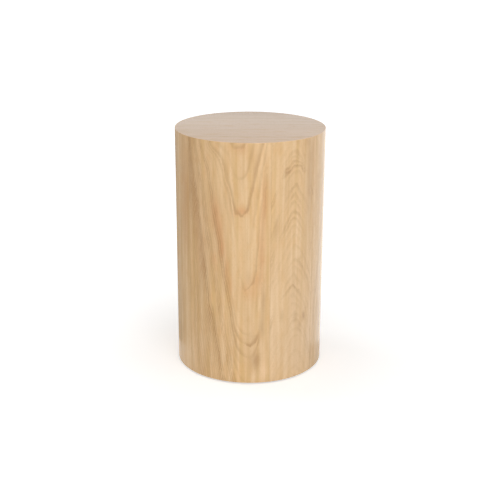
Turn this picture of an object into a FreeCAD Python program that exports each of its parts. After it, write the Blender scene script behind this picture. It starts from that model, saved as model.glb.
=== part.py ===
import FreeCAD, Part
import math
import os

# Cylindrical side table, a hollow drum with an oak veneered skin.
# Three board rings and four pine battens carry a wall of two layers of bending plywood.
# A board disc closes the top, and a screwed panel on four glides closes the foot.
# Millimetres. +Z is up and -Y is the front. The origin is on the floor, under the middle of the top.
# Angles are in degrees, anticlockwise from +X seen from above, so the front is at 270.

# Overall sizes
table_diameter = 280.0
table_height = 460.0

# Oak veneer: six leaves of their own widths round the side, two on the top, one balancing leaf under it
veneer_thickness = 0.6
leaf_joint_gap = 0.1
side_joints_deg = [218.0, 285.6, 325.0, 388.0, 462.0, 518.0, 578.0]
top_joint_offset = 30.0
arris_chamfer = 0.4

# Top core
top_core_thickness = 18.0

# Wall of two rolled layers, whose butt joints stand opposite each other on battens
ply_thickness = 5.0
ply_joint_gap = 0.8
outer_ply_joint_deg = 45.0
inner_ply_joint_deg = 225.0

# Glue between curved faces, left open
glue_line = 0.1

# Frame inside the wall
ring_thickness = 18.0
ring_width = 45.0
batten_width = 30.0
batten_depth = 20.0
batten_count = 4
batten_start_deg = 45.0
batten_fit_gap = 0.1

# Panel under the drum, set back so that the wall hides it
base_panel_thickness = 12.0
base_panel_recess = 2.5
base_panel_fit_gap = 0.4

# Countersunk wood screws
screw_diameter = 4.0
screw_head_diameter = 8.0
screw_sink = 0.5
screw_hole_gap = 0.2
screw_tip_share = 1.5
panel_screw_bite = 13.0
top_screw_bite = 11.0
batten_screw_bite = 20.0
ring_screw_count = 8
ring_screw_start_deg = 22.5

# Cross recess in each screw head, as shares of the head's diameter
recess_span_share = 0.55
recess_width_share = 0.13
recess_depth_share = 0.22

# Dowels that place the top core on the top ring
dowel_diameter = 8.0
dowel_bite_in_core = 12.0
dowel_bite_in_ring = 14.0
dowel_end_gap = 0.5
dowel_fit_gap = 0.05
dowel_chamfer = 1.0
dowel_count = 4

# Brads that hold the inner layer to the rings while the glue sets
brad_diameter = 1.2
brad_bite = 14.0
brad_set = 0.5
brad_tip_share = 1.5
brad_count = 16

# Nylon glides, each on one screw
glide_diameter = 25.0
glide_height = 5.0
glide_edge_radius = 1.0
glide_screw_diameter = 3.5
glide_screw_head_diameter = 7.0
glide_screw_sink = 1.0
glide_screw_bite = 15.0
glide_count = 4

# How far a cutting shape runs past the face that it opens
overrun = 1.0

# Radii, from the skin inwards
leaf_radius = table_diameter / 2
leaf_back_radius = leaf_radius - veneer_thickness
board_radius = leaf_back_radius - glue_line
board_back_radius = board_radius - ply_thickness
layer_radius = board_back_radius - glue_line
layer_back_radius = layer_radius - ply_thickness
frame_radius = layer_back_radius - glue_line
ring_inner_radius = frame_radius - ring_width
ring_middle_radius = frame_radius - ring_width / 2

# Heights, from the floor up
wall_low = glide_height - base_panel_recess
panel_low = glide_height
panel_high = panel_low + base_panel_thickness
core_high = table_height - veneer_thickness
core_low = core_high - top_core_thickness
wall_high = core_low - veneer_thickness
ring_lows = {
    "bottom": panel_high,
    "middle": (panel_high + wall_high - ring_thickness) / 2,
    "top": wall_high - ring_thickness,
}

up = FreeCAD.Vector(0, 0, 1)
centre = FreeCAD.Vector(0, 0, 0)


def disc(radius, low, high):
    """A cylinder on the table's axis."""
    return Part.makeCylinder(radius, high - low, FreeCAD.Vector(0, 0, low))


def turned(shape, angle):
    """A copy of the shape, turned about the table's axis."""
    copy = shape.copy()
    copy.rotate(centre, up, angle)
    return copy


def on_circle(shape, radius, count, start):
    """Copies of an upright shape, evenly spaced on a circle about the table's axis."""
    moved = shape.copy()
    moved.translate(FreeCAD.Vector(radius, 0, 0))
    return [turned(moved, start + 360 * k / count) for k in range(count)]


def inward(shape, radius, height):
    """A copy of an upright shape, laid down so that its foot is at the radius and it points at the axis."""
    copy = shape.copy()
    copy.rotate(centre, FreeCAD.Vector(0, 1, 0), -90)
    copy.translate(FreeCAD.Vector(radius, 0, height))
    return copy


def round_solid(points):
    """The solid that an outline of (radius, height) points sweeps round the Z axis."""
    corners = [FreeCAD.Vector(r, 0, z) for r, z in points]
    face = Part.Face(Part.makePolygon(corners + corners[:1]))
    return face.revolve(centre, up, 360)


def pointed_rod(diameter, length, tip_share):
    """A round rod with a point, as a brad is."""
    radius = diameter / 2
    shoulder = length - diameter * tip_share
    return round_solid([(0, 0), (radius, 0), (radius, shoulder), (0, length)])


def screw_body(diameter, head_diameter, length):
    """A countersunk screw with no recess. Its head's face is at the origin and it points up."""
    radius = diameter / 2
    head_radius = head_diameter / 2
    head_height = head_radius - radius
    shoulder = length - diameter * screw_tip_share
    outline = [(0, 0), (head_radius, 0), (radius, head_height), (radius, shoulder), (0, length)]
    return round_solid(outline)


def wood_screw(diameter, head_diameter, length):
    """A countersunk screw with a cross recess. The thread is drawn as the cylinder round it."""
    span = head_diameter * recess_span_share
    width = head_diameter * recess_width_share
    depth = head_diameter * recess_depth_share
    slot = Part.makeBox(span, width, depth, FreeCAD.Vector(-span / 2, -width / 2, 0))
    cross = slot.fuse(turned(slot, 90))
    return screw_body(diameter, head_diameter, length).cut(cross)


def screw_passage(diameter, head_diameter, sink, length):
    """The hole in the piece that a screw clamps, from its face: a sunk head, a countersink and a free shank."""
    radius = diameter / 2 + screw_hole_gap
    head_radius = head_diameter / 2
    head_height = head_radius - diameter / 2
    well = Part.makeCylinder(head_radius, sink + overrun, FreeCAD.Vector(0, 0, -overrun))
    cone = Part.makeCone(head_radius, diameter / 2, head_height, FreeCAD.Vector(0, 0, sink))
    shank = Part.makeCylinder(radius, length + overrun)
    return well.fuse([cone, shank])


def lifted(shape, height):
    """A copy of the shape, raised by the height."""
    copy = shape.copy()
    copy.translate(FreeCAD.Vector(0, 0, height))
    return copy


# Where the fasteners stand. Each list holds shapes in place, and the pieces that they enter are cut with them.


def round_the_ring(shape):
    """Copies of an upright shape at the places of the screws that hold a panel or the top to a ring."""
    return on_circle(shape, ring_middle_radius, ring_screw_count, ring_screw_start_deg)


def panel_screws(body_only=False):
    """Screws up through the base panel into the bottom ring."""
    length = base_panel_thickness - screw_sink + panel_screw_bite
    make = screw_body if body_only else wood_screw
    return round_the_ring(lifted(make(screw_diameter, screw_head_diameter, length), panel_low + screw_sink))


def panel_screw_passages():
    """Holes for those screws through the base panel."""
    hole = screw_passage(screw_diameter, screw_head_diameter, screw_sink, base_panel_thickness)
    return round_the_ring(lifted(hole, panel_low))


def top_screws(body_only=False):
    """Screws up through the top ring into the top core."""
    length = ring_thickness - screw_sink + veneer_thickness + top_screw_bite
    make = screw_body if body_only else wood_screw
    screw = make(screw_diameter, screw_head_diameter, length)
    return round_the_ring(lifted(screw, ring_lows["top"] + screw_sink))


def top_screw_passages():
    """Holes for those screws through the top ring and the balancing veneer."""
    hole = screw_passage(screw_diameter, screw_head_diameter, screw_sink, ring_thickness + veneer_thickness)
    return round_the_ring(lifted(hole, ring_lows["top"]))


def batten_screws(body_only=False, rings=tuple(ring_lows)):
    """Screws through each batten into each ring, pointing at the axis."""
    length = batten_depth - screw_sink + batten_screw_bite
    make = screw_body if body_only else wood_screw
    screw = make(screw_diameter, screw_head_diameter, length)
    found = []
    for ring in rings:
        height = ring_lows[ring] + ring_thickness / 2
        laid = inward(screw, frame_radius - screw_sink, height)
        found += on_circle(laid, 0, batten_count, batten_start_deg)
    return found


def batten_screw_passages():
    """Holes for those screws through the battens."""
    hole = screw_passage(screw_diameter, screw_head_diameter, screw_sink, batten_depth)
    found = []
    for low in ring_lows.values():
        laid = inward(hole, frame_radius, low + ring_thickness / 2)
        found += on_circle(laid, 0, batten_count, batten_start_deg)
    return found


def dowel_holes():
    """The blind holes that the dowels stand in, half in the top ring and half in the core."""
    low = wall_high - dowel_bite_in_ring
    high = core_low + dowel_bite_in_core
    hole = lifted(Part.makeCylinder(dowel_diameter / 2 + dowel_fit_gap, high - low), low)
    return on_circle(hole, ring_middle_radius, dowel_count, 0)


def dowels():
    """Upright dowels with chamfered ends, a little shorter than their holes."""
    low = wall_high - dowel_bite_in_ring + dowel_end_gap
    high = core_low + dowel_bite_in_core - dowel_end_gap
    radius = dowel_diameter / 2
    end_radius = radius - dowel_chamfer
    lower_half = [(0, low), (end_radius, low), (radius, low + dowel_chamfer)]
    upper_half = [(radius, high - dowel_chamfer), (end_radius, high), (0, high)]
    return on_circle(round_solid(lower_half + upper_half), ring_middle_radius, dowel_count, 0)


def brads(rings=tuple(ring_lows)):
    """Brads through the inner layer into each ring, half a step away from battens and screws."""
    length = ply_thickness - brad_set + glue_line + brad_bite
    brad = pointed_rod(brad_diameter, length, brad_tip_share)
    half_step = 360 / brad_count / 2
    found = []
    for ring in rings:
        height = ring_lows[ring] + ring_thickness / 2
        laid = inward(brad, layer_radius - brad_set, height)
        found += on_circle(laid, 0, brad_count, half_step)
    return found


def brad_holes():
    """Holes for the brads, open at the outer face of the inner layer."""
    hole = Part.makeCylinder(brad_diameter / 2, ply_thickness + 2 * overrun)
    found = []
    for low in ring_lows.values():
        laid = inward(hole, layer_radius + overrun, low + ring_thickness / 2)
        found += on_circle(laid, 0, brad_count, 360 / brad_count / 2)
    return found


def glide_screws(body_only=False):
    """Screws up through the glides into the base panel and the bottom ring."""
    length = glide_height - glide_screw_sink + glide_screw_bite
    make = screw_body if body_only else wood_screw
    screw = lifted(make(glide_screw_diameter, glide_screw_head_diameter, length), glide_screw_sink)
    return on_circle(screw, ring_middle_radius, glide_count, 0)


# The pieces themselves


def side_leaf(start, end):
    """One veneer leaf of the side, between two joints."""
    gap_angle = math.degrees(leaf_joint_gap / leaf_radius)
    height = core_high - wall_low
    low = FreeCAD.Vector(0, 0, wall_low)
    sweep = end - start - gap_angle
    leaf = Part.makeCylinder(leaf_radius, height, low, up, sweep)
    leaf = leaf.cut(Part.makeCylinder(leaf_back_radius, height, low))
    return turned(leaf, start + gap_angle / 2)


def top_leaves():
    """The two face leaves of the top. They meet on a line along X, and the rim's sharp edge is eased."""
    flat_radius = leaf_radius - arris_chamfer
    eased = core_high + veneer_thickness - arris_chamfer
    outline = [
        (0, core_high),
        (leaf_radius, core_high),
        (leaf_radius, eased),
        (flat_radius, table_height),
        (0, table_height),
    ]
    whole = round_solid(outline)
    span = table_diameter + 2 * overrun
    corner = FreeCAD.Vector(-span / 2, -top_joint_offset + leaf_joint_gap / 2, core_high - overrun)
    back = Part.makeBox(span, span, veneer_thickness + 2 * overrun, corner)
    corner = FreeCAD.Vector(-span / 2, -top_joint_offset - leaf_joint_gap / 2 - span, core_high - overrun)
    front = Part.makeBox(span, span, veneer_thickness + 2 * overrun, corner)
    return whole.common(front), whole.common(back)


def top_core():
    """The board disc of the top, which lies on the wall and the top ring."""
    return disc(board_radius, core_low, core_high).cut(top_screws(True) + dowel_holes())


def balancing_veneer():
    """The veneer under the core, which keeps the top flat."""
    return disc(board_radius, wall_high, core_low).cut(top_screw_passages() + dowel_holes())


def wall_layer(outer, inner, joint_angle):
    """One layer of bending plywood, rolled until its ends nearly meet."""
    layer = disc(outer, wall_low, wall_high).cut(disc(inner, wall_low, wall_high))
    corner = FreeCAD.Vector(0, -ply_joint_gap / 2, wall_low - overrun)
    slit = Part.makeBox(outer + overrun, ply_joint_gap, wall_high - wall_low + 2 * overrun, corner)
    return layer.cut(turned(slit, joint_angle))


def battens():
    """Upright pine battens, whose outer faces are rounded to the wall."""
    corner = FreeCAD.Vector(frame_radius - batten_depth, -batten_width / 2, panel_high)
    bar = Part.makeBox(batten_depth + overrun, batten_width, wall_high - panel_high, corner)
    bar = bar.common(disc(frame_radius, panel_high, wall_high))
    holes = batten_screw_passages()
    return [bar_at.cut(holes) for bar_at in on_circle(bar, 0, batten_count, batten_start_deg)]


def ring(place):
    """A board ring with a notch for each batten and the holes of what enters it."""
    low = ring_lows[place]
    high = low + ring_thickness
    width = batten_width + 2 * batten_fit_gap
    depth = batten_depth + batten_fit_gap
    corner = FreeCAD.Vector(frame_radius - depth, -width / 2, low - overrun)
    notch = Part.makeBox(depth + overrun, width, ring_thickness + 2 * overrun, corner)
    cuts = on_circle(notch, 0, batten_count, batten_start_deg)
    cuts += batten_screws(True, [place]) + brads([place])
    if place == "top":
        cuts += top_screw_passages() + dowel_holes()
    if place == "bottom":
        cuts += panel_screws(True) + glide_screws(True)
    return disc(frame_radius, low, high).cut(disc(ring_inner_radius, low, high)).cut(cuts)


def base_panel():
    """The board that closes the foot of the drum."""
    panel = disc(frame_radius - base_panel_fit_gap, panel_low, panel_high)
    return panel.cut(panel_screw_passages() + glide_screws(True))


def glides():
    """Nylon feet with a softened lower edge and a sunk hole for their screw."""
    foot = Part.makeCylinder(glide_diameter / 2, glide_height)
    lower = [e for e in foot.Edges if e.Closed and e.CenterOfMass.z < glide_height / 2]
    foot = foot.makeFillet(glide_edge_radius, lower)
    hole = screw_passage(
        glide_screw_diameter, glide_screw_head_diameter, glide_screw_sink, glide_height
    )
    return on_circle(foot.cut(hole), ring_middle_radius, glide_count, 0)


def write(name, shapes):
    """Writes one node, a single solid or a group of separate ones."""
    solids = [s for shape in shapes for s in shape.Solids]
    whole = solids[0] if len(solids) == 1 else Part.makeCompound(solids)
    if not whole.isValid():
        raise ValueError(f"{name} isn't a valid shape")
    whole.exportStep(f"parts/{name}.step")
    print(f"{name}: {len(solids)} solid(s), {sum(s.Volume for s in solids):.0f} cubic mm")


os.makedirs("parts", exist_ok=True)

front_leaf, back_leaf = top_leaves()
write("top_leaf_front", [front_leaf])
write("top_leaf_back", [back_leaf])
for number, (start, end) in enumerate(zip(side_joints_deg, side_joints_deg[1:]), 1):
    write(f"side_leaf_{number}", [side_leaf(start, end)])
write("top_core", [top_core()])
write("balancing_veneer", [balancing_veneer()])
write("wall_outer_ply", [wall_layer(board_radius, board_back_radius, outer_ply_joint_deg)])
write("wall_inner_ply", [wall_layer(layer_radius, layer_back_radius, inner_ply_joint_deg).cut(brad_holes())])
for place in ring_lows:
    write(f"ring_{place}", [ring(place)])
for number, batten in enumerate(battens(), 1):
    write(f"batten_{number}", [batten])
write("base_panel", [base_panel()])
for number, glide in enumerate(glides(), 1):
    write(f"glide_{number}", [glide])
write("top_dowels", dowels())
write("top_screws", top_screws())
write("batten_screws", batten_screws())
write("wall_brads", brads())
write("panel_screws", panel_screws())
write("glide_screws", glide_screws())
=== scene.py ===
import math

import bpy
import numpy as np
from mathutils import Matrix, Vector, noise


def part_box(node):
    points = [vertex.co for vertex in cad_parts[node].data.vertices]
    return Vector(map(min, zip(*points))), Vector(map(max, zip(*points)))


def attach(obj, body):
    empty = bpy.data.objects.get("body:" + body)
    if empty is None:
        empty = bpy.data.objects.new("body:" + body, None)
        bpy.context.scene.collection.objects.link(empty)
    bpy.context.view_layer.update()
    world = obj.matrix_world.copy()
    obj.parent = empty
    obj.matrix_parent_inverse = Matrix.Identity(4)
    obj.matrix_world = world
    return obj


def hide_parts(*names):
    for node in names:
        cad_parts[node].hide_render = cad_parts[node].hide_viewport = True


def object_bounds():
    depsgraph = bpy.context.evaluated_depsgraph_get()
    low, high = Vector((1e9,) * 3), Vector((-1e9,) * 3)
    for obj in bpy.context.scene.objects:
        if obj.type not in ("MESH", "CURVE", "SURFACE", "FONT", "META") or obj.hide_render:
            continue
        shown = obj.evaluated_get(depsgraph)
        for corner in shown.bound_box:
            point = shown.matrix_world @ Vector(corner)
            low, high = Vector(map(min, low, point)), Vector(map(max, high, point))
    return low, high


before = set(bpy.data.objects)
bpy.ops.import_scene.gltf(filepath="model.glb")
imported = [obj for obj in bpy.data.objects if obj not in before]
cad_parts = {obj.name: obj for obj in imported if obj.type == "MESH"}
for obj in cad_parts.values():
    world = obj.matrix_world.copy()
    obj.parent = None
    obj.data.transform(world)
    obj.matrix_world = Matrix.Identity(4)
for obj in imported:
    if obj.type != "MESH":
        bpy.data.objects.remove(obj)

cad_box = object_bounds()

# The three rings, the top's core and the base panel are medium density fibreboard, routed from sheets.
# Only the base panel shows, from below. Its sanded face is a fine, felted brown with darker fibre bundles.


def linear_colour(code):
    """The linear colour of an sRGB hex value such as C8A070."""
    parts = [int(code[k:k + 2], 16) / 255 for k in (0, 2, 4)]
    linear = [c / 12.92 if c <= 0.04045 else ((c + 0.055) / 1.055) ** 2.4 for c in parts]
    return (*linear, 1.0)


def new_material(name):
    """An empty node material, and the tree that its nodes go in."""
    material = bpy.data.materials.new(name)
    material.use_nodes = True
    material.node_tree.nodes.clear()
    return material, material.node_tree


def add_node(tree, kind, sockets=None, **settings):
    """Adds a node. Sockets maps an input's name or number to a value, or to the output that feeds it."""
    node = tree.nodes.new(kind)
    for name, value in settings.items():
        setattr(node, name, value)
    for name, value in (sockets or {}).items():
        if isinstance(value, bpy.types.NodeSocket):
            tree.links.new(value, node.inputs[name])
        else:
            node.inputs[name].default_value = value
    return node


def set_ramp(ramp_node, stops):
    """Gives a colour ramp its stops, as (place, colour)."""
    ramp = ramp_node.color_ramp
    while len(ramp.elements) < len(stops):
        ramp.elements.new(0.5)
    for element, (place, colour) in zip(ramp.elements, stops):
        element.position = place
        element.color = colour


def fibreboard():
    """Raw fibreboard with fibre bundles and a broad, soft cloudiness."""
    material, tree = new_material("fibreboard_raw")
    place = add_node(tree, "ShaderNodeTexCoord").outputs["Object"]
    bundle_size = 0.8 * millimetre
    cloud_size = 40.0 * millimetre
    fibres = add_node(tree, "ShaderNodeTexNoise", {"Vector": place, "Scale": 1 / bundle_size, "Detail": 3.0})
    clouds = add_node(tree, "ShaderNodeTexNoise", {"Vector": place, "Scale": 1 / cloud_size, "Detail": 2.0})
    faint_clouds = add_node(tree, "ShaderNodeMath", {0: clouds.outputs["Fac"], 1: 0.25}, operation="MULTIPLY")
    both = add_node(tree, "ShaderNodeMath", {0: fibres.outputs["Fac"], 1: 0.75, 2: faint_clouds.outputs[0]},
                    operation="MULTIPLY_ADD")
    ramp = add_node(tree, "ShaderNodeValToRGB", {"Fac": both.outputs[0]})
    set_ramp(ramp, [(0.38, linear_colour("86694A")), (0.5, linear_colour("9C7E5A")),
                    (0.62, linear_colour("AC8E69"))])
    bump = add_node(tree, "ShaderNodeBump", {"Height": fibres.outputs["Fac"], "Strength": 0.25,
                                             "Distance": 0.2 * millimetre})
    shader = add_node(tree, "ShaderNodeBsdfPrincipled", {
        "Base Color": ramp.outputs["Color"], "Normal": bump.outputs["Normal"], "Roughness": 0.85, "IOR": 1.45,
    })
    add_node(tree, "ShaderNodeOutputMaterial", {"Surface": shader.outputs["BSDF"]})
    return material


def paint_node(name, material):
    """Gives a CAD node one material all over."""
    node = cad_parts[name]
    node.data.materials.clear()
    node.data.materials.append(material)


millimetre = 0.001
board = fibreboard()
for board_name in ("ring_bottom", "ring_middle", "ring_top", "top_core", "base_panel"):
    paint_node(board_name, board)


# The battens are planed pine, let into the rings and screwed. They are closed in and never show.
# Knot-free strips: pale yellow early wood with orange late wood lines 3 mm apart along the strip.


def pine():
    """Planed pine, its growth rings cut along the strip."""
    material, tree = new_material("pine_planed")
    place = add_node(tree, "ShaderNodeTexCoord").outputs["Object"]
    ring_spacing = 3.0 * millimetre
    wave_length_at_scale_1 = 0.314
    lengthways = add_node(tree, "ShaderNodeMapping", {"Vector": place, "Scale": (1.0, 1.0, 0.03)})
    rings = add_node(tree, "ShaderNodeTexWave", {
        "Vector": lengthways.outputs["Vector"], "Scale": wave_length_at_scale_1 / ring_spacing,
        "Distortion": 3.0, "Detail": 2.0, "Detail Scale": 0.6,
    }, wave_type="BANDS", bands_direction="DIAGONAL")
    ramp = add_node(tree, "ShaderNodeValToRGB", {"Fac": rings.outputs["Fac"]})
    set_ramp(ramp, [(0.1, linear_colour("E3C48E")), (0.7, linear_colour("DDB67C")),
                    (0.95, linear_colour("C08D52"))])
    bump = add_node(tree, "ShaderNodeBump", {"Height": rings.outputs["Fac"], "Strength": 0.1,
                                             "Distance": 0.2 * millimetre})
    shader = add_node(tree, "ShaderNodeBsdfPrincipled", {
        "Base Color": ramp.outputs["Color"], "Normal": bump.outputs["Normal"], "Roughness": 0.6, "IOR": 1.5,
    })
    add_node(tree, "ShaderNodeOutputMaterial", {"Surface": shader.outputs["BSDF"]})
    return material


planed_pine = pine()
for number in range(1, 5):
    paint_node(f"batten_{number}", planed_pine)


# The wall is two layers of bending plywood, each rolled from one sheet and glued to the rings.
# Its sanded lower edge shows from below as thin bands: two thick plies with the grain upright and a thin
# core between them, whose end grain is darker.


def bending_ply():
    """Birch bending plywood. The bands across its thickness follow the distance from the table's axis."""
    material, tree = new_material("bending_ply_edge")
    place = add_node(tree, "ShaderNodeTexCoord").outputs["Object"]
    axes = add_node(tree, "ShaderNodeSeparateXYZ", {"Vector": place})
    flat = add_node(tree, "ShaderNodeCombineXYZ", {"X": axes.outputs["X"], "Y": axes.outputs["Y"]})
    radius = add_node(tree, "ShaderNodeVectorMath", {0: flat.outputs["Vector"]}, operation="LENGTH")
    layer_step = 5.1 * millimetre
    inner_face = 129.2 * millimetre
    depth = add_node(tree, "ShaderNodeMath", {0: radius.outputs["Value"], 1: inner_face},
                     operation="SUBTRACT")
    share = add_node(tree, "ShaderNodeMath", {0: depth.outputs[0], 1: layer_step}, operation="DIVIDE")
    band = add_node(tree, "ShaderNodeMath", {0: share.outputs[0]}, operation="FRACT")
    plies = add_node(tree, "ShaderNodeValToRGB", {"Fac": band.outputs[0]})
    face_ply = linear_colour("D8BC8E")
    core_ply = linear_colour("B08A5C")
    glue = linear_colour("7A5A3A")
    set_ramp(plies, [(0.02, glue), (0.06, face_ply), (0.37, face_ply), (0.39, glue), (0.41, core_ply),
                     (0.59, core_ply), (0.61, glue), (0.63, face_ply), (0.94, face_ply), (0.98, glue)])
    fibre_width = 0.6 * millimetre
    long_fibres = add_node(tree, "ShaderNodeMapping", {"Vector": place, "Scale": (1.0, 1.0, 0.05)})
    fibres = add_node(tree, "ShaderNodeTexNoise", {
        "Vector": long_fibres.outputs["Vector"], "Scale": 1 / fibre_width, "Detail": 3.0,
    })
    tint = add_node(tree, "ShaderNodeMapRange", {"Value": fibres.outputs["Fac"], "To Min": 0.82,
                                                 "To Max": 1.08})
    colour = add_node(tree, "ShaderNodeVectorMath", {
        0: plies.outputs["Color"], "Scale": tint.outputs["Result"],
    }, operation="SCALE")
    bump = add_node(tree, "ShaderNodeBump", {"Height": fibres.outputs["Fac"], "Strength": 0.3,
                                             "Distance": 0.2 * millimetre})
    shader = add_node(tree, "ShaderNodeBsdfPrincipled", {
        "Base Color": colour.outputs["Vector"], "Normal": bump.outputs["Normal"], "Roughness": 0.75,
        "IOR": 1.5,
    })
    add_node(tree, "ShaderNodeOutputMaterial", {"Surface": shader.outputs["BSDF"]})
    return material


rolled_ply = bending_ply()
for layer_name in ("wall_outer_ply", "wall_inner_ply"):
    paint_node(layer_name, rolled_ply)


# The dowels are fluted beech pins, turned and glued half in the top ring and half in the core. They never
# show. Beech is pinkish with short dark flecks along the pin.


def beech():
    """Turned beech with its short flecks."""
    material, tree = new_material("beech_turned")
    place = add_node(tree, "ShaderNodeTexCoord").outputs["Object"]
    fleck_length = 2.0 * millimetre
    stretched = add_node(tree, "ShaderNodeMapping", {"Vector": place, "Scale": (4.0, 4.0, 1.0)})
    flecks = add_node(tree, "ShaderNodeTexNoise", {
        "Vector": stretched.outputs["Vector"], "Scale": 1 / fleck_length, "Detail": 2.0,
    })
    ramp = add_node(tree, "ShaderNodeValToRGB", {"Fac": flecks.outputs["Fac"]})
    set_ramp(ramp, [(0.35, linear_colour("A87850")), (0.45, linear_colour("D2A67C")),
                    (0.8, linear_colour("DDB690"))])
    shader = add_node(tree, "ShaderNodeBsdfPrincipled", {
        "Base Color": ramp.outputs["Color"], "Roughness": 0.55, "IOR": 1.5,
    })
    add_node(tree, "ShaderNodeOutputMaterial", {"Surface": shader.outputs["BSDF"]})
    return material


paint_node("top_dowels", beech())


# The screws and brads are steel with a bright zinc plating. The heads under the base panel and in the glides
# show. The plating is a cool grey with a faint yellow cloud, a little dull from the barrel that it was
# plated in.


def zinc_plated_steel():
    """Bright zinc plating with its faint clouds."""
    material, tree = new_material("zinc_plated_steel")
    place = add_node(tree, "ShaderNodeTexCoord").outputs["Object"]
    cloud_size = 3.0 * millimetre
    clouds = add_node(tree, "ShaderNodeTexNoise", {"Vector": place, "Scale": 1 / cloud_size, "Detail": 3.0})
    ramp = add_node(tree, "ShaderNodeValToRGB", {"Fac": clouds.outputs["Fac"]})
    set_ramp(ramp, [(0.3, linear_colour("B4B6B8")), (0.7, linear_colour("CFCDC4"))])
    rough = add_node(tree, "ShaderNodeMapRange", {"Value": clouds.outputs["Fac"], "To Min": 0.25,
                                                  "To Max": 0.45})
    shader = add_node(tree, "ShaderNodeBsdfPrincipled", {
        "Base Color": ramp.outputs["Color"], "Metallic": 1.0, "Roughness": rough.outputs["Result"],
    })
    add_node(tree, "ShaderNodeOutputMaterial", {"Surface": shader.outputs["BSDF"]})
    return material


zinc = zinc_plated_steel()
for fastener in ("top_screws", "batten_screws", "wall_brads", "panel_screws", "glide_screws"):
    paint_node(fastener, zinc)


# The glides are moulded nylon, screwed up through the base panel. Nylon is a warm, slightly waxy white, and
# the mould's spark-eroded face leaves a fine matt grain.


def nylon():
    """Moulded nylon with the mould's grain and faint scuffs."""
    material, tree = new_material("nylon_moulded")
    place = add_node(tree, "ShaderNodeTexCoord").outputs["Object"]
    grain_size = 0.3 * millimetre
    scuff_size = 6.0 * millimetre
    grain = add_node(tree, "ShaderNodeTexNoise", {"Vector": place, "Scale": 1 / grain_size, "Detail": 2.0})
    scuffs = add_node(tree, "ShaderNodeTexNoise", {"Vector": place, "Scale": 1 / scuff_size, "Detail": 4.0})
    ramp = add_node(tree, "ShaderNodeValToRGB", {"Fac": scuffs.outputs["Fac"]})
    set_ramp(ramp, [(0.35, linear_colour("D8D2C6")), (0.65, linear_colour("E4E0D6"))])
    bump = add_node(tree, "ShaderNodeBump", {"Height": grain.outputs["Fac"], "Strength": 0.15,
                                             "Distance": 0.1 * millimetre})
    shader = add_node(tree, "ShaderNodeBsdfPrincipled", {
        "Base Color": ramp.outputs["Color"], "Normal": bump.outputs["Normal"], "Roughness": 0.5, "IOR": 1.53,
        "Subsurface Weight": 0.1, "Subsurface Scale": 2.0 * millimetre,
    })
    add_node(tree, "ShaderNodeOutputMaterial", {"Surface": shader.outputs["BSDF"]})
    return material


moulded_nylon = nylon()
for number in range(1, 5):
    paint_node(f"glide_{number}", moulded_nylon)


# The side is skinned with leaves of crown-cut oak veneer, 0.6 mm thick, sliced flat from a log and pressed on
# with the grain upright. Slicing through nested growth rings draws a stack of V shapes up the middle of each
# leaf and near straight lines beside them. The veneer is sanded and has a satin clear lacquer.


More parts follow.
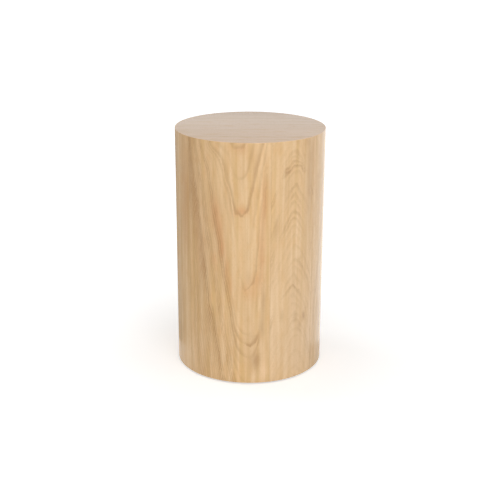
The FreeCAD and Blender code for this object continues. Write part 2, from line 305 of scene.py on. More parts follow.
def oak_veneer(name, crown_cut):
    """Oak under satin lacquer. It reads the leaf's UV, in metres across and along the grain.

    A crown-cut leaf also has its figure stored on its points. "growth" counts the rings, and "line" says how
    dark the ring is. "blush", "pale" and "brown" say how much of that tint the wood takes, and "shade" how
    bright it is. "ring_width", "ragged" and "from_joint" are in metres.
    """
    material, tree = new_material(name)
    leaf = add_node(tree, "ShaderNodeUVMap", uv_map="leaf").outputs["UV"]

    def grain_noise(across, along, detail=2.0, roughness=0.5):
        """Noise whose cells are as wide and as long as these sizes, in millimetres."""
        cells = add_node(tree, "ShaderNodeMapping", {
            "Vector": leaf, "Scale": (1 / (across * millimetre), 1 / (along * millimetre), 1.0),
        })
        sockets = {"Vector": cells.outputs["Vector"], "Scale": 1.0, "Detail": detail, "Roughness": roughness}
        return add_node(tree, "ShaderNodeTexNoise", sockets, noise_dimensions="2D").outputs["Fac"]

    def shifted(value, cells, amount):
        """The value moved by up to half the amount either way, as the cells say."""
        centred = add_node(tree, "ShaderNodeMath", {0: cells, 1: 0.5}, operation="SUBTRACT").outputs[0]
        sockets = {0: centred, 1: amount, 2: value}
        return add_node(tree, "ShaderNodeMath", sockets, operation="MULTIPLY_ADD").outputs[0]

    if crown_cut:
        labels = ("growth", "line", "ring_width", "ragged", "blush", "pale", "brown", "shade", "from_joint")
        stored = {label: add_node(tree, "ShaderNodeAttribute", attribute_name=label).outputs["Fac"]
                  for label in labels}
        growth, line, ring_width, ragged = [stored[label] for label in labels[:4]]
    else:
        ring_width = 16.0 * millimetre
        ragged = 1.0 * millimetre
        wander_in_rings = 5.0
        axes = add_node(tree, "ShaderNodeSeparateXYZ", {"Vector": leaf})
        growth = add_node(tree, "ShaderNodeMath", {0: axes.outputs["X"], 1: 1 / ring_width},
                          operation="MULTIPLY").outputs[0]
        growth = shifted(growth, grain_noise(60.0, 400.0, 1.0), wander_in_rings)
        line = add_node(tree, "ShaderNodeMapRange", {
            "Value": grain_noise(20.0, 500.0, 1.0), "From Min": 0.4, "From Max": 0.8, "To Max": 0.25,
        }).outputs["Result"]

    # A ring's edge is ragged, because the early wood's pores are cut open there one by one
    waver_in_rings = 0.4
    ragged_in_rings = add_node(tree, "ShaderNodeMath", {0: ragged, 1: ring_width},
                               operation="DIVIDE").outputs[0]
    growth = shifted(growth, grain_noise(2.2, 6.0), ragged_in_rings)
    growth = shifted(growth, grain_noise(12.0, 50.0), waver_in_rings)
    ring_share = add_node(tree, "ShaderNodeMath", {0: growth}, operation="FRACT").outputs[0]

    # From its sharp edge the early wood fades into the late wood over a centimetre
    fade = 10.0 * millimetre
    past_edge = add_node(tree, "ShaderNodeMath", {0: ring_share, 1: ring_width}, operation="MULTIPLY")
    past_edge = add_node(tree, "ShaderNodeMath", {0: past_edge.outputs[0], 1: 1 / fade}, operation="MULTIPLY")
    profile = add_node(tree, "ShaderNodeValToRGB", {"Fac": past_edge.outputs[0]})
    greys = [(0.0, 0.05), (0.2, 0.7), (0.42, 0.8), (0.7, 0.35), (1.0, 0.0)]
    set_ramp(profile, [(place, (grey, grey, grey, 1.0)) for place, grey in greys])
    along_line = add_node(tree, "ShaderNodeMapRange", {
        "Value": grain_noise(8.0, 30.0), "From Min": 0.35, "From Max": 0.6, "To Min": 0.75,
    }).outputs["Result"]
    ring_dark = add_node(tree, "ShaderNodeMath", {0: profile.outputs["Color"], 1: line}, operation="MULTIPLY")
    ring_dark = add_node(tree, "ShaderNodeMath", {0: ring_dark.outputs[0], 1: along_line},
                         operation="MULTIPLY").outputs[0]

    fine_streaks = grain_noise(1.6, 70.0, 3.0, 0.6)
    broad_streaks = grain_noise(9.0, 220.0)
    pores = grain_noise(0.5, 6.0, 1.0)
    streaked = add_node(tree, "ShaderNodeMapRange", {
        "Value": fine_streaks, "From Min": 0.42, "From Max": 0.8, "To Max": 0.07,
    }).outputs["Result"]
    mottled = add_node(tree, "ShaderNodeMapRange", {
        "Value": grain_noise(11.0, 30.0, 3.0), "From Min": 0.5, "From Max": 0.8, "To Max": 0.34,
    }).outputs["Result"]
    pored = add_node(tree, "ShaderNodeMapRange", {
        "Value": pores, "From Min": 0.62, "From Max": 0.74, "To Max": 0.22,
    }).outputs["Result"]

    # The base colour, and the tints laid on it in turn, each as (colour, how much of it)
    base = add_node(tree, "ShaderNodeValToRGB", {"Fac": broad_streaks})
    if crown_cut:
        set_ramp(base, [(0.3, linear_colour("D2AD78")), (0.5, linear_colour("DAB687")),
                        (0.72, linear_colour("E1C195"))])
        stain_width = 1.8 * millimetre
        glue_stained = add_node(tree, "ShaderNodeMapRange", {
            "Value": stored["from_joint"], "From Max": stain_width, "To Min": 0.12, "To Max": 0.0,
        }).outputs["Result"]
        tints = [("C0975F", streaked), ("D2A266", mottled), ("D29B67", stored["blush"]),
                 ("E8CBA8", stored["pale"]), ("9A6F3E", stored["brown"]), ("A07542", ring_dark),
                 ("9A6F3E", pored), ("9C7440", glue_stained)]
    else:
        # The top's colour is painted paler and greyer than the side's, a painted sheen for the white surround
        # reflected at a low angle, and painted shade makes it a little browner towards the back of the table
        set_ramp(base, [(0.3, linear_colour("DEC0A0")), (0.5, linear_colour("E4C5A7")),
                        (0.72, linear_colour("E7C9AC"))])
        place = add_node(tree, "ShaderNodeTexCoord").outputs["Object"]
        depth = add_node(tree, "ShaderNodeSeparateXYZ", {"Vector": place}).outputs["Y"]
        painted_back_shade = add_node(tree, "ShaderNodeMapRange", {
            "Value": depth, "From Min": -table_radius, "From Max": table_radius, "To Max": 0.3,
        }).outputs["Result"]
        tints = [("C0975F", streaked), ("D2A266", mottled), ("CDA87C", painted_back_shade), ("A07542", ring_dark),
                 ("9A6F3E", pored)]
    wood = base.outputs["Color"]
    for tint, amount in tints:
        sockets = {0: amount, 6: wood, 7: linear_colour(tint)}
        wood = add_node(tree, "ShaderNodeMix", sockets, data_type="RGBA").outputs[2]
    if crown_cut:
        wood = add_node(tree, "ShaderNodeVectorMath", {0: wood, "Scale": stored["shade"]},
                        operation="SCALE").outputs["Vector"]

    rough = add_node(tree, "ShaderNodeMapRange", {"Value": fine_streaks, "To Min": 0.36, "To Max": 0.5})
    bump = add_node(tree, "ShaderNodeBump", {"Height": pores, "Strength": 0.08, "Distance": 0.1 * millimetre},
                    invert=True)
    shader = add_node(tree, "ShaderNodeBsdfPrincipled", {
        "Base Color": wood, "Normal": bump.outputs["Normal"], "Roughness": rough.outputs["Result"],
        "IOR": 1.5, "Specular IOR Level": 0.0, "Coat Weight": 0.9, "Coat Roughness": 0.25, "Coat IOR": 1.5,
    })
    add_node(tree, "ShaderNodeOutputMaterial", {"Surface": shader.outputs["BSDF"]})
    return material


table_radius = min(abs(corner[axis]) for corner in cad_box for axis in (0, 1))
veneer_thickness = 0.6 * millimetre
leaf_low, leaf_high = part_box("side_leaf_1")[0][2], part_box("side_leaf_1")[1][2]
leaf_height = (leaf_high - leaf_low) / millimetre
leaf_cell = 3.0 * millimetre
joint_gap = 0.1 * millimetre
oak = oak_veneer("oak_veneer_crown_cut", crown_cut=True)


def deselect():
    """Leaves edit mode and deselects every object."""
    if bpy.context.object and bpy.context.object.mode != "OBJECT":
        bpy.ops.object.mode_set(mode="OBJECT")
    bpy.ops.object.select_all(action="DESELECT")


def select_only(piece):
    """Leaves edit mode and selects this piece alone."""
    deselect()
    piece.select_set(True)
    bpy.context.view_layer.objects.active = piece


def apply_place(piece):
    """Puts the piece's place and size into its mesh."""
    select_only(piece)
    bpy.ops.object.transform_apply(location=True, rotation=True, scale=True)


def side_leaf(name, start, end):
    """The leaf's section, spun about the table's axis from one joint to the next and then cut into rows."""
    deselect()
    tall = leaf_high - leaf_low
    bpy.ops.mesh.primitive_plane_add(
        size=1, location=(table_radius - veneer_thickness / 2, 0, (leaf_low + leaf_high) / 2),
        rotation=(math.radians(90), 0, 0),
    )
    piece = bpy.context.object
    piece.name = name
    piece.scale = (veneer_thickness, tall, 1)
    apply_place(piece)
    sweep = math.radians(end - start) - joint_gap / table_radius
    first = math.radians(start) + joint_gap / table_radius / 2
    columns = round(sweep * table_radius / leaf_cell)
    rows = round(tall / leaf_cell)
    bpy.ops.object.mode_set(mode="EDIT")
    bpy.ops.mesh.select_all(action="SELECT")
    bpy.ops.mesh.spin(steps=columns, angle=-sweep, center=(0, 0, 0), axis=(0, 0, 1))
    bpy.ops.mesh.select_all(action="DESELECT")
    bpy.ops.mesh.select_mode(type="EDGE")
    bpy.ops.object.mode_set(mode="OBJECT")
    mesh = piece.data
    for edge in mesh.edges:
        low, high = [mesh.vertices[k].co for k in edge.vertices]
        edge.select = abs(high.z - low.z) > tall / 2
    bpy.ops.object.mode_set(mode="EDIT")
    bpy.ops.mesh.subdivide(number_cuts=rows - 1)
    bpy.ops.mesh.select_mode(type="VERT")
    bpy.ops.object.mode_set(mode="OBJECT")
    piece.rotation_euler = (0, 0, first)
    apply_place(piece)
    return piece


def half_width(tip, rise, arm):
    """How far the line of a V with its tip at this height has spread from the leaf's heart, this far up."""
    reach, tip_heights, tip_widths, roundings, slopes = arm
    tip_bluntness = 0.6
    rounding = np.interp(tip, tip_heights, roundings)
    opened = np.interp(tip, tip_heights, tip_widths) * (1 - np.exp(-rise / rounding)) ** tip_bluntness
    return opened + np.interp(tip, tip_heights, slopes) * reach * (1 - np.exp(-rise / reach))


def tip_height(across, up, plan):
    """The height of the tip of the V through each point, found by halving. The V opens upwards."""
    deepest_tip = 4000.0
    halvings = 40
    low = up - deepest_tip
    high = up.copy()
    for _ in range(halvings):
        tip = (low + high) / 2
        aside = across - np.interp(tip, *plan["heart"])
        left_spread, right_spread = [half_width(tip, up - tip, plan[side]) for side in ("left", "right")]
        spread = np.where(aside < 0, left_spread, right_spread)
        outside = np.abs(aside) > spread
        high = np.where(outside, tip, high)
        low = np.where(outside, low, tip)
    return (low + high) / 2


def drift(across, up, seed):
    """A slow sideways wander of the grain to either side of 0, in broad swings with smaller ones on them."""
    broad_wide, broad_tall = 30.0, 90.0
    small_wide, small_tall, small_share = 11.0, 22.0, 0.6
    return np.array([
        noise.noise(Vector((a / broad_wide, b / broad_tall, seed)))
        + small_share * noise.noise(Vector((a / small_wide, b / small_tall, seed + 7)))
        for a, b in zip(across, up)
    ])


def spot(across, up, place, height, half_wide, half_tall):
    """1 at the place, and less and less away from it."""
    return np.exp(-((across - place) / half_wide) ** 2 - ((up - height) / half_tall) ** 2)


def figure_leaf(piece, across, up, plan, seed):
    """Stores the leaf's figure on its points. Points give millimetres across and along the leaf."""
    from_joint = (np.abs(across).max() - np.abs(across)) * millimetre
    across = across + plan["wander"] * drift(across, up, seed)
    up = up + 3 * plan["wander"] * drift(across, up, seed + 3)
    for *where, push in plan["bends"]:
        across = across + push * spot(across, up, *where)
    if plan["points_up"]:
        up = leaf_height - up
    rings = np.array(sorted(plan["rings"]))
    rings_below, rings_above = 60, 39
    below = rings[0, 0] - plan["spacing"] * np.arange(rings_below, 0, -1)
    above = rings[-1, 0] + plan["spacing"] * np.arange(1, rings_above + 1)
    places = np.concatenate([below, rings[:, 0], above])
    counts = np.arange(len(places), dtype=float)
    tips = tip_height(across, up, plan)
    growth = np.interp(tips, places, counts)

    # A ring's width is worked out from how far the count gets on in a small step across and along the leaf
    step = 0.5
    least_count = 0.001
    narrowest, widest = 1.0, 80.0
    gained = np.hypot(*[np.interp(tip_height(across + x, up + z, plan), places, counts) - growth
                        for x, z in ((step, 0), (0, step))])
    ring_width = np.clip(step / np.maximum(gained, least_count), narrowest, widest) * millimetre

    # Each ring is drawn as dark as the plan says, on its left and on its right, with a soft turn between them
    chance = np.random.default_rng(seed)
    left_line, right_line = [
        np.concatenate([chance.uniform(*plan["plain"], len(below)), rings[:, side],
                        chance.uniform(*plan["plain"], len(above))]) for side in (1, 2)
    ]
    turn_width = 12.0
    aside = across - np.interp(tips, *plan["heart"])
    turn = 0.5 + 0.5 * np.clip(aside / turn_width, -1, 1)
    line = (1 - turn) * np.interp(tips, places, left_line) + turn * np.interp(tips, places, right_line)
    blush = np.zeros_like(across)
    lightness = np.zeros_like(across)
    for *where, red, light, dark in plan["patches"]:
        amount = spot(across, up, *where)
        blush += red * amount
        lightness += light * amount
        line += dark * amount
    faint = np.clip(0.5 + 1.5 * drift(across * 3, up * 5, seed + 5), 0, 1)
    line *= 1 - plan["broken"] * faint
    brown_for_darkness = 1.8
    figure = {
        "growth": growth, "line": np.clip(line, 0, 1), "ring_width": ring_width,
        "ragged": np.full_like(across, plan["ragged"] * millimetre),
        "blush": np.clip(blush, 0, 1), "pale": np.clip(-blush, 0, 1),
        "brown": np.clip(-brown_for_darkness * lightness, 0, 1),
        "shade": plan["shade"] + np.clip(lightness, 0, 1), "from_joint": from_joint,
    }
    for label, values in figure.items():
        layer = piece.data.attributes.new(label, "FLOAT", "POINT")
        layer.data.foreach_set("value", values.astype(np.float32))


def lay_side_leaf(number, start, end, plan):
    """Makes a leaf of the side with its figure, and lays it where the CAD leaf is."""
    piece = side_leaf(f"side_veneer_{number}", start, end)
    mesh = piece.data
    points = np.empty(len(mesh.vertices) * 3, dtype=np.float32)
    mesh.vertices.foreach_get("co", points)
    points = points.reshape(-1, 3).astype(float)
    middle = math.radians((start + end) / 2)
    turned = np.arctan2(points[:, 1], points[:, 0]) - middle
    turned = (turned + math.pi) % (2 * math.pi) - math.pi
    across = turned * table_radius
    up = points[:, 2] - leaf_low
    flat_map = mesh.uv_layers.new(name="leaf")
    corners = np.empty(len(mesh.loops), dtype=np.int32)
    mesh.loops.foreach_get("vertex_index", corners)
    sheet = np.stack([across + number, up + number], axis=1)[corners]
    flat_map.data.foreach_set("uv", sheet.ravel().astype(np.float32))
    figure_leaf(piece, across / millimetre, up / millimetre, plan, number)
    smooth_below = 30
    select_only(piece)
    bpy.ops.object.shade_smooth_by_angle(angle=math.radians(smooth_below))
    mesh.materials.append(oak)
    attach(piece, "root")
    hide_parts(f"side_leaf_{number}")


# A plan is a leaf's figure, in millimetres from the leaf's middle and foot. Where "points_up" is true, the
# heights count down from the leaf's top. "wander" is how far the grain strays, "ragged" how deep the pores
# notch a ring, "broken" how faint the rings get in places, and "shade" how bright the leaf is.
# "heart" says where the tips of the V shapes lie at each height. "left" and "right" are the arms of the V, as
# (reach, heights of tips, and for these their half widths, roundings and slopes).

# "rings" are (tip, how dark on the left, how dark on the right). The rings beyond them stand "spacing" apart,
# as dark as chance says between the two values of "plain". "bends" are (place, height, half width, half
# height, push to the left). "patches" are (place, height, half width, half height, how red or below 0 how
# pale, how light or below 0 how brown, how much darker the rings).

# The front leaf. Its V shapes point down, with redder streaks beside them
front_leaf = {
    "points_up": False,
    "wander": 2.2,
    "ragged": 1.8,
    "broken": 0.1,
    "shade": 1.0,
    "heart": ([-200.0, 72.0, 183.0, 325.0, 445.0], [34.0, 43.0, 42.0, 30.0, 28.0]),
    "left": (4000.0, [-100.0, 72.0, 183.0, 325.0], [18.0, 22.0, 14.0, 13.0], [16.0, 16.0, 12.0, 9.0],
             [0.178, 0.175, 0.18, 0.18]),
    "right": (4000.0, [0.0, 72.0, 183.0, 325.0], [18.0, 25.0, 12.0, 13.0], [20.0, 22.0, 12.0, 9.0],
              [0.04, 0.04, 0.085, 0.2]),
    "rings": [(-300, 0.5, 0.3), (-262, 0.3, 0.3), (-230, 0.45, 0.3), (-205, 0.25, 0.2), (-180, 0.5, 0.3),
              (-160, 0.55, 0.3), (-142, 1.0, 0.4), (-124, 1.0, 0.3), (-104, 0.25, 0.2), (-70, 0.25, 0.3),
              (-50, 0.8, 0.3), (-34, 0.6, 0.3), (0, 0.4, 0.1), (24, 0.25, 0.1), (46, 0.35, 0.05),
              (72, 0.9, 0.9), (92, 0.5, 0.05), (120, 0.05, 0.0), (183, 0.25, 0.6), (256, 0.1, 0.1),
              (325, 0.7, 0.75), (388, 0.1, 0.35), (445, 0.35, 0.45)],
    "spacing": 32.0,
    "plain": (0.2, 0.6),
    "bends": [(-26, 458, 30, 28, 26), (-5, 402, 16, 36, 6), (-37, 150, 12, 30, 4)],
    # Among these patches, the lighter ones at the leaf's foot and low on its left are painted light
    "patches": [(30, 335, 14, 9, 0.7, -0.02, 0.0), (46, 183, 18, 18, 0.4, 0.0, 0.0),
                (66, 250, 5, 50, 0.65, -0.03, 0.0), (57, 205, 8, 14, 0.4, -0.02, 0.0),
                (70, 345, 5, 50, 0.6, -0.04, 0.0), (-6, 260, 5, 20, 0.8, -0.05, 0.0),
                (-12, 293, 7, 26, 0.7, -0.03, 0.0), (-19, 330, 8, 25, 0.7, -0.03, 0.0),
                (3, 222, 5, 26, 0.5, -0.02, 0.0), (10, 188, 5, 20, 0.4, 0.0, 0.0),
                (-22, 240, 6, 12, 0.4, 0.02, 0.0), (-22, 216, 5, 20, 0.0, 0.06, -0.2),
                (42, 210, 7, 14, 0.1, -0.08, 0.0), (-53, 185, 5, 28, 0.0, -0.07, 0.0),
                (83, 392, 5, 28, 0.0, -0.1, 0.0), (0, 16, 45, 14, 0.0, 0.05, 0.0),
                (-52, 260, 11, 65, 0.15, 0.01, 0.0), (58, 70, 22, 60, -0.2, -0.015, 0.0),
                (74, 20, 14, 20, -0.2, 0.05, 0.0), (-83, 300, 4, 36, 0.0, 0.05, -0.2),
                (46, 45, 6, 28, 0.0, -0.09, 0.1), (-77, 137, 6, 26, 0.0, 0.05, -0.2),
                (-78, 385, 12, 90, 0.1, -0.11, 0.3), (-64, 320, 8, 58, 0.2, -0.06, 0.3),
                (-46, 238, 8, 45, 0.15, -0.1, 0.2), (-33, 112, 6, 30, 0.1, -0.04, 0.2),
                (-76, 220, 6, 70, 0.0, 0.04, -0.35), (-40, 415, 11, 40, 0.0, 0.065, -0.1),
                (0, 405, 8, 30, 0.0, 0.04, -0.1), (-24, 160, 13, 24, 0.0, 0.07, -0.15),
                (3, 163, 7, 24, 0.0, 0.05, -0.15), (27, 112, 8, 26, -0.1, 0.06, -0.2),
                (-70, 90, 26, 100, -0.15, 0.03, -0.1), (57, 46, 7, 18, 0.0, -0.26, 0.2),
                (50, 82, 10, 8, 0.0, -0.06, 0.0), (72, 45, 5, 60, -0.3, 0.04, 0.0),
                (67, 112, 4, 20, 0.1, -0.18, 0.0), (70, 160, 4, 32, 0.1, -0.21, 0.0),
                (22, 26, 14, 22, 0.0, 0.05, 0.0), (52, 92, 9, 5, 0.0, -0.08, 0.0),
                (44, 135, 10, 50, 0.0, -0.05, 0.0), (-2, 100, 10, 50, -0.1, 0.1, 0.0),
                (50, 428, 9, 26, 0.0, -0.08, 0.0), (30, 446, 11, 9, 0.4, -0.06, 0.1),
                (32, 405, 6, 36, 0.0, -0.08, 0.0), (41, 262, 6, 50, 0.0, -0.07, 0.0),
                (23, 265, 6, 42, -0.15, 0.03, -0.1), (61, 340, 5, 42, 0.0, 0.07, 0.0),
                (-20, 220, 25, 300, 0.0, 0.02, 0.0), (35, 270, 16, 60, 0.0, 0.01, -0.2),
                (34, 84, 10, 10, 0.0, 0.0, -0.6), (40, 30, 14, 32, 0.0, 0.0, -0.4)],
}

# The right leaf. Its arches point up, so its heights count down from the top. Their lines are more broken
right_leaf = {
    "points_up": True,
    "wander": 2.0,
    "ragged": 4.5,
    "broken": 0.45,
    "shade": 0.975,
    "heart": ([-200.0, 20.0, 45.0, 95.0, 140.0, 200.0, 267.0, 335.0, 600.0],
              [-4.0, -4.0, 2.0, 0.0, 0.0, 6.0, -4.0, 6.0, 6.0]),
    "left": (200.0, [20.0, 45.0, 80.0], [10.0, 20.0, 10.0], [10.0, 10.0, 10.0], [0.55, 0.55, 0.55]),
    "right": (160.0, [20.0, 45.0, 80.0], [10.0, 20.0, 10.0], [10.0, 10.0, 10.0], [0.55, 0.55, 0.55]),
    "rings": [(13, 0.3, 0.3), (25, 0.4, 0.4), (34, 0.1, 0.1), (45, 1.0, 1.0), (55, 0.3, 0.2),
              (79, 0.55, 0.35), (95, 0.4, 0.3), (107, 0.35, 0.3), (124, 0.3, 0.5), (138, 0.65, 0.45),
              (152, 0.25, 0.3), (170, 0.25, 0.15), (190, 0.2, 0.2), (215, 0.15, 0.5), (228, 0.1, 0.3),
              (245, 0.1, 0.1), (267, 0.6, 0.65), (285, 0.15, 0.25), (303, 0.15, 0.35), (320, 0.1, 0.1),
              (335, 0.2, 0.3), (352, 0.1, 0.3), (370, 0.1, 0.1), (400, 0.15, 0.15), (430, 0.1, 0.15)],
    "spacing": 20.0,
    "plain": (0.05, 0.25),
    "bends": [],
    # Among these patches, the two lighter ones low at the leaf's sides, near its foot, are painted light
    "patches": [(26, 338, 4, 8, 0.0, -0.26, 0.2), (5, 335, 4, 10, 0.0, -0.12, 0.2),
                (-38, 160, 5, 20, 0.0, -0.1, 0.0), (-24, 325, 4, 12, 0.0, -0.12, 0.0),
                (15, 355, 5, 10, 0.0, -0.1, 0.0), (12, 218, 7, 4, 0.1, -0.1, 0.0),
                (-16, 55, 5, 7, 0.0, -0.14, 0.2), (-34, 72, 10, 16, 0.0, 0.0, -0.8),
                (30, 70, 10, 18, 0.0, 0.0, -0.9), (34, 165, 11, 32, 0.0, 0.0, -0.6),
                (-36, 190, 10, 30, 0.0, 0.0, -0.5), (38, 80, 8, 90, 0.0, -0.17, 0.0),
                (29, 110, 13, 170, 0.0, -0.05, 0.0), (-30, 100, 14, 40, 0.0, 0.0, -0.5),
                (-18, 85, 12, 25, 0.0, -0.08, 0.0), (45, 30, 8, 32, 0.0, -0.1, 0.0),
                (28, 6, 12, 8, 0.0, -0.08, 0.0), (0, 270, 8, 45, 0.0, -0.07, 0.0),
                (19, 135, 6, 32, 0.0, 0.05, -0.2), (-47, 118, 5, 45, 0.0, 0.08, 0.0),
                (47, 432, 8, 16, 0.0, 0.07, 0.0), (-46, 428, 7, 18, 0.0, 0.05, 0.0),
                (31, 95, 6, 50, 0.0, -0.04, 0.0), (-4, 250, 30, 260, -0.2, 0.0, 0.0),
                (2, 150, 20, 55, 0.0, 0.025, 0.0), (-42, 330, 12, 150, -0.4, 0.0, 0.0),
                (10, 415, 40, 60, -0.4, -0.015, 0.0), (5, 320, 22, 60, -0.15, -0.02, 0.0),
                (47, 380, 14, 90, -0.4, 0.0, 0.0), (0, 380, 30, 90, 0.0, -0.03, 0.0),
                (-30, 310, 14, 35, 0.0, 0.0, -0.6), (26, 300, 12, 35, 0.0, 0.0, -0.3)],
}

# The leaves that the photograph doesn't show are cut from the same log, with figures of the same kind. The
# two that show a narrow strip at the drum's edges start from the back leaf
wide_back_leaf = {
    "points_up": False,
    "wander": 2.6,
    "ragged": 1.6,
    "broken": 0.2,
    "shade": 1.0,
    "heart": ([-200.0, 60.0, 250.0, 445.0], [-14.0, -8.0, -16.0, -4.0]),
    "left": (900.0, [0.0, 400.0], [16.0, 12.0], [18.0, 18.0], [0.2, 0.2]),
    "right": (900.0, [0.0, 400.0], [14.0, 18.0], [16.0, 16.0], [0.22, 0.22]),
    "rings": [(-75, 0.8, 0.7), (-30, 0.3, 0.4), (28, 0.7, 0.6), (95, 0.4, 0.4), (150, 0.9, 0.9),
              (222, 0.3, 0.4), (290, 0.5, 0.5), (352, 0.9, 0.8), (420, 0.3, 0.4)],
    "spacing": 36.0,
    "plain": (0.15, 0.6),
    "bends": [(20, 300, 18, 30, -5)],
    "patches": [(-12, 362, 13, 12, 0.6, -0.02, 0.0), (36, 250, 8, 70, 0.6, -0.03, 0.0),
                (-50, 130, 8, 60, 0.5, -0.03, 0.0), (-10, 200, 18, 60, 0.0, 0.03, -0.2)],
}
back_leaf = {
    "points_up": True,
    "wander": 2.2,
    "ragged": 1.8,
    "broken": 0.2,
    "shade": 1.0,
    "heart": ([-200.0, 100.0, 400.0], [6.0, -4.0, -10.0]),
    "left": (600.0, [0.0, 400.0], [12.0, 16.0], [16.0, 16.0], [0.22, 0.22]),
    "right": (600.0, [0.0, 400.0], [15.0, 12.0], [16.0, 16.0], [0.2, 0.2]),
    "rings": [(20, 0.5, 0.4), (70, 0.9, 0.8), (130, 0.4, 0.4), (185, 0.7, 0.6), (260, 0.3, 0.4),
              (330, 0.8, 0.8), (410, 0.4, 0.4)],
    "spacing": 34.0,
    "plain": (0.2, 0.7),
    "bends": [],
    "patches": [(0, 200, 20, 60, 0.3, 0.03, 0.0), (30, 350, 16, 60, 0.4, 0.0, 0.0)],
}
right_edge_leaf = {
    **back_leaf,
    "patches": [(-66, 100, 14, 100, 0.0, -0.03, 0.0), (-70, 350, 18, 110, -0.3, 0.0, 0.0),
                (-35, 390, 16, 90, 0.0, -0.09, 0.0)],
}
# Painted light and shade at the drum's left edge: the leaf's lower shade and its darker, redder patch high up
# are painted shade, and its paler, lighter patch low down is painted light
left_edge_leaf = {
    **back_leaf,
    "points_up": False,
    "shade": 0.97,
    "heart": ([-200.0, 500.0], [-60.0, -50.0]),
    "plain": (0.1, 0.4),
    "patches": [(62, 350, 18, 120, 0.3, -0.08, 0.0), (66, 100, 20, 110, -0.1, 0.05, 0.0)],
}

# Each leaf with the angles of its two joints, in degrees from the right of the photograph round by the back
side_leaves = [
    (1, 218.0, 285.6, front_leaf),
    (2, 285.6, 325.0, right_leaf),
    (3, 325.0, 388.0, right_edge_leaf),
    (4, 28.0, 102.0, wide_back_leaf),
    (5, 102.0, 158.0, back_leaf),
    (6, 158.0, 218.0, left_edge_leaf),
]
for number, start, end, plan in side_leaves:
    lay_side_leaf(number, start, end, plan)


# The top is faced with two more leaves of the same veneer, butted on a line across the table and pressed on
# the core after the side was skinned, so that they cover its edge. The grain runs from left to right. The
# wood is painted paler and greyer than the side's, a painted sheen, and the rim is eased with fine paper.

top_low, top_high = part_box("top_leaf_back")[0][2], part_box("top_leaf_back")[1][2]
top_joint = -30.0 * millimetre
rim_radius = 0.45 * millimetre
plain_oak = oak_veneer("oak_veneer_straight_grain", crown_cut=False)


def lay_top_leaf(name, node, keeps_front, seed):
    """A disc with its upper rim rounded, cut on the joint."""
    rim_points = 256
    rim_steps = 4
    middle = (top_low + top_high) / 2
    deselect()
    bpy.ops.mesh.primitive_cylinder_add(
        vertices=rim_points, radius=table_radius, depth=top_high - top_low, location=(0, 0, middle),
    )
    piece = bpy.context.object
    piece.name = name
    apply_place(piece)
    bpy.ops.object.mode_set(mode="EDIT")
    bpy.ops.mesh.select_all(action="DESELECT")
    bpy.ops.mesh.select_mode(type="EDGE")
    bpy.ops.object.mode_set(mode="OBJECT")
    mesh = piece.data
    for edge in mesh.edges:
        edge.select = all(mesh.vertices[k].co.z > middle for k in edge.vertices)
    bpy.ops.object.mode_set(mode="EDIT")
    bpy.ops.mesh.bevel(offset=rim_radius, segments=rim_steps, affect="EDGES")
    bpy.ops.mesh.select_mode(type="VERT")
    bpy.ops.mesh.select_all(action="SELECT")
    gap_side = -1 if keeps_front else 1
    bpy.ops.mesh.bisect(
        plane_co=(0, top_joint + gap_side * joint_gap / 2, 0), plane_no=(0, 1, 0), use_fill=True,
        clear_outer=keeps_front, clear_inner=not keeps_front,
    )
    bpy.ops.object.mode_set(mode="OBJECT")
    flat_map = mesh.uv_layers.new(name="leaf")
    for loop in mesh.loops:
        point = mesh.vertices[loop.vertex_index].co
        flat_map.data[loop.index].uv = (point.y + seed, point.x + seed)
    smooth_below = 40
    select_only(piece)
    bpy.ops.object.shade_smooth_by_angle(angle=math.radians(smooth_below))
    mesh.materials.append(plain_oak)
    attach(piece, "root")
    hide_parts(node)


lay_top_leaf("top_veneer_front", "top_leaf_front", keeps_front=True, seed=11)
lay_top_leaf("top_veneer_back", "top_leaf_back", keeps_front=False, seed=12)


# The balancing veneer is a plain leaf pressed under the core, so that the top stays flat. It is closed in.
# A CAD node has no UV map, so its veneer is drawn on its place in the table instead.


def plain_veneer():
    """Oak veneer with straight grain from left to right and no lacquer."""
    material, tree = new_material("oak_veneer_unfinished")
    place = add_node(tree, "ShaderNodeTexCoord").outputs["Object"]
    streak_length = 125.0 * millimetre
    streak_width = 2.5 * millimetre
    cells = add_node(tree, "ShaderNodeMapping", {
        "Vector": place, "Scale": (1 / streak_length, 1 / streak_width, 1.0),
    })
    streaks = add_node(tree, "ShaderNodeTexNoise", {
        "Vector": cells.outputs["Vector"], "Scale": 1.0, "Detail": 3.0,
    })
    ramp = add_node(tree, "ShaderNodeValToRGB", {"Fac": streaks.outputs["Fac"]})
    set_ramp(ramp, [(0.3, linear_colour("BE9766")), (0.7, linear_colour("DDBB8E"))])
    shader = add_node(tree, "ShaderNodeBsdfPrincipled", {
        "Base Color": ramp.outputs["Color"], "Roughness": 0.7, "IOR": 1.5,
    })
    add_node(tree, "ShaderNodeOutputMaterial", {"Surface": shader.outputs["BSDF"]})
    return material


paint_node("balancing_veneer", plain_veneer())


# The studio: a white floor under a white surround, a wide lamp in front, a weaker one behind on the left and
# a faint one overhead. The lacquer reflects two folded boards at the drum's edges, a grey one on the left and
# a white one on the right.


def directly_seen(tree):
    """1 for the rays that show a surface to the camera, straight or through a reflection or clear thing."""
    rays = add_node(tree, "ShaderNodeLightPath").outputs
    seen = add_node(tree, "ShaderNodeMath", {0: rays["Is Camera Ray"], 1: rays["Is Glossy Ray"]},
                    operation="MAXIMUM")
    seen = add_node(tree, "ShaderNodeMath", {0: seen.outputs[0], 1: rays["Is Transmission Ray"]},
                    operation="MAXIMUM")
    return seen.outputs[0]


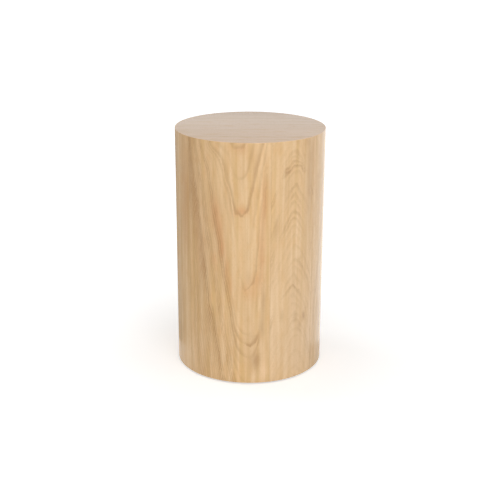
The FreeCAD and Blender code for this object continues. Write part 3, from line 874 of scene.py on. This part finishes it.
def white_floor():
    """Matt white that the camera sees as pure white, with the table's soft shadow kept."""
    material, tree = new_material("floor_white")
    near_table, far_off = 0.2, 0.9
    near_glow, far_glow = 0.40, 0.75
    place = add_node(tree, "ShaderNodeTexCoord").outputs["Object"]
    away = add_node(tree, "ShaderNodeVectorMath", {0: place}, operation="LENGTH").outputs["Value"]
    fill = add_node(tree, "ShaderNodeMapRange", {
        "Value": away, "From Min": near_table, "From Max": far_off, "To Min": near_glow, "To Max": far_glow,
    }).outputs["Result"]
    lift = add_node(tree, "ShaderNodeMath", {0: directly_seen(tree), 1: fill}, operation="MULTIPLY")
    matt = add_node(tree, "ShaderNodeBsdfDiffuse", {"Color": linear_colour("F0F0F0")})
    glow = add_node(tree, "ShaderNodeEmission", {"Color": (1.0, 1.0, 1.0, 1.0), "Strength": lift.outputs[0]})
    both = add_node(tree, "ShaderNodeAddShader", {0: matt.outputs["BSDF"], 1: glow.outputs["Emission"]})
    add_node(tree, "ShaderNodeOutputMaterial", {"Surface": both.outputs["Shader"]})
    return material


floor_size = 40
floor_drop = 0.1 * millimetre
deselect()
bpy.ops.mesh.primitive_plane_add(size=floor_size, location=(0, 0, -floor_drop))
floor = bpy.context.object
floor.name = "studio_floor"
floor.data.materials.append(white_floor())

world = bpy.data.worlds.new("studio_surround")
world.use_nodes = True
bpy.context.scene.world = world
world_tree = world.node_tree
world_tree.nodes.clear()
level_light, overhead_light, seen_light = 0.62, 0.30, 1.0
direction = add_node(world_tree, "ShaderNodeTexCoord").outputs["Generated"]
height = add_node(world_tree, "ShaderNodeSeparateXYZ", {"Vector": direction}).outputs["Z"]
sky = add_node(world_tree, "ShaderNodeMapRange", {
    "Value": height, "To Min": level_light, "To Max": overhead_light,
}).outputs["Result"]
strength = add_node(world_tree, "ShaderNodeMix", {0: directly_seen(world_tree), 2: sky, 3: seen_light},
                    data_type="FLOAT")
surround = add_node(world_tree, "ShaderNodeBackground", {
    "Color": (1.0, 1.0, 1.0, 1.0), "Strength": strength.outputs[0],
})
add_node(world_tree, "ShaderNodeOutputWorld", {"Surface": surround.outputs["Background"]})


def soft_lamp(name, place, wide, tall, power):
    """A soft lamp aimed at the middle of the table. Reflections don't show it."""
    aim = Vector((0, 0, 0.25))
    deselect()
    bpy.ops.object.light_add(type="AREA", location=place)
    lamp = bpy.context.object
    lamp.name = name
    lamp.data.shape = "RECTANGLE"
    lamp.data.size = wide
    lamp.data.size_y = tall
    lamp.data.energy = power
    lamp.rotation_euler = (aim - Vector(place)).to_track_quat("-Z", "Y").to_euler()
    lamp.visible_glossy = False


soft_lamp("key_lamp", place=(0.62, -2.6, 0.8), wide=2.2, tall=1.4, power=36.0)
soft_lamp("left_fill_lamp", place=(-2.0, 1.0, 0.7), wide=1.2, tall=1.2, power=15.0)
soft_lamp("overhead_lamp", place=(0.5, -0.5, 2.2), wide=1.4, tall=1.4, power=7.0)


def panel_material(name, albedo, glow_strength):
    """Painted board with a faint tooth, which glows when it is a light panel."""
    material, tree = new_material(name)
    place = add_node(tree, "ShaderNodeTexCoord").outputs["Object"]
    tooth_size = 2.0 * millimetre
    tooth = add_node(tree, "ShaderNodeTexNoise", {"Vector": place, "Scale": 1 / tooth_size, "Detail": 1.0})
    tone = add_node(tree, "ShaderNodeMapRange", {
        "Value": tooth.outputs["Fac"], "To Min": 0.95 * albedo, "To Max": 1.05 * albedo,
    })
    shader = add_node(tree, "ShaderNodeBsdfPrincipled", {
        "Base Color": tone.outputs["Result"], "Roughness": 0.9, "IOR": 1.45,
        "Emission Strength": glow_strength,
    })
    add_node(tree, "ShaderNodeOutputMaterial", {"Surface": shader.outputs["BSDF"]})
    return material


def side_panel(name, side, material):
    """A folded board beside the table, on the floor and upright. Only reflections in the lacquer show it."""
    foot_lift = 1.0 * millimetre
    near, far = Vector((side * 0.15, 0.38, 0)), Vector((side * 0.72, -0.08, 0))
    near_foot, far_foot = Vector((side * 0.09, 0.18, foot_lift)), Vector((side * 0.47, -0.4, foot_lift))
    rise = Vector((0, 0, 0.42))
    deselect()
    bpy.ops.mesh.primitive_plane_add(size=1)
    panel = bpy.context.object
    panel.name = name
    for vertex, corner in zip(panel.data.vertices, (near, far, near + rise, far + rise)):
        vertex.co = corner
    bpy.ops.object.mode_set(mode="EDIT")
    bpy.ops.mesh.select_all(action="DESELECT")
    bpy.ops.mesh.select_mode(type="EDGE")
    bpy.ops.object.mode_set(mode="OBJECT")
    for edge in panel.data.edges:
        edge.select = all(panel.data.vertices[k].co.z == 0 for k in edge.vertices)
    bpy.ops.object.mode_set(mode="EDIT")
    bpy.ops.mesh.extrude_region_move()
    bpy.ops.mesh.select_mode(type="VERT")
    bpy.ops.object.mode_set(mode="OBJECT")
    for vertex in panel.data.vertices:
        if vertex.select:
            vertex.co = near_foot if (vertex.co - near).length < (vertex.co - far).length else far_foot
    panel.data.materials.append(material)
    panel.visible_camera = False
    panel.visible_diffuse = False
    panel.visible_shadow = False


grey_board = panel_material("panel_grey", albedo=0.6, glow_strength=0.0)
light_board = panel_material("panel_light", albedo=0.9, glow_strength=0.95)
side_panel("studio_grey_panel", side=-1, material=grey_board)
side_panel("studio_light_panel", side=1, material=light_board)

# The camera stands 1.86 m in front of the table's axis and looks a little down on it. It is level to a third
# of a degree.
camera_distance = 1.859
camera_height = 0.8524
camera_down = 18.867
camera_roll = 0.273
focal_pixels = 1016.7
picture_pixels = 500
picture_shift = 0.0006
sensor_width = 36.0
bpy.ops.object.camera_add(location=(0, -camera_distance, camera_height))
camera = bpy.context.object
camera.data.sensor_width = sensor_width
camera.data.lens = focal_pixels / picture_pixels * sensor_width
camera.data.shift_x = picture_shift
camera.rotation_euler = (math.radians(90 - camera_down), 0, 0)
camera.rotation_euler.rotate_axis("Z", math.radians(camera_roll))
bpy.context.scene.camera = camera

bpy.context.scene.view_settings.view_transform = "Standard"
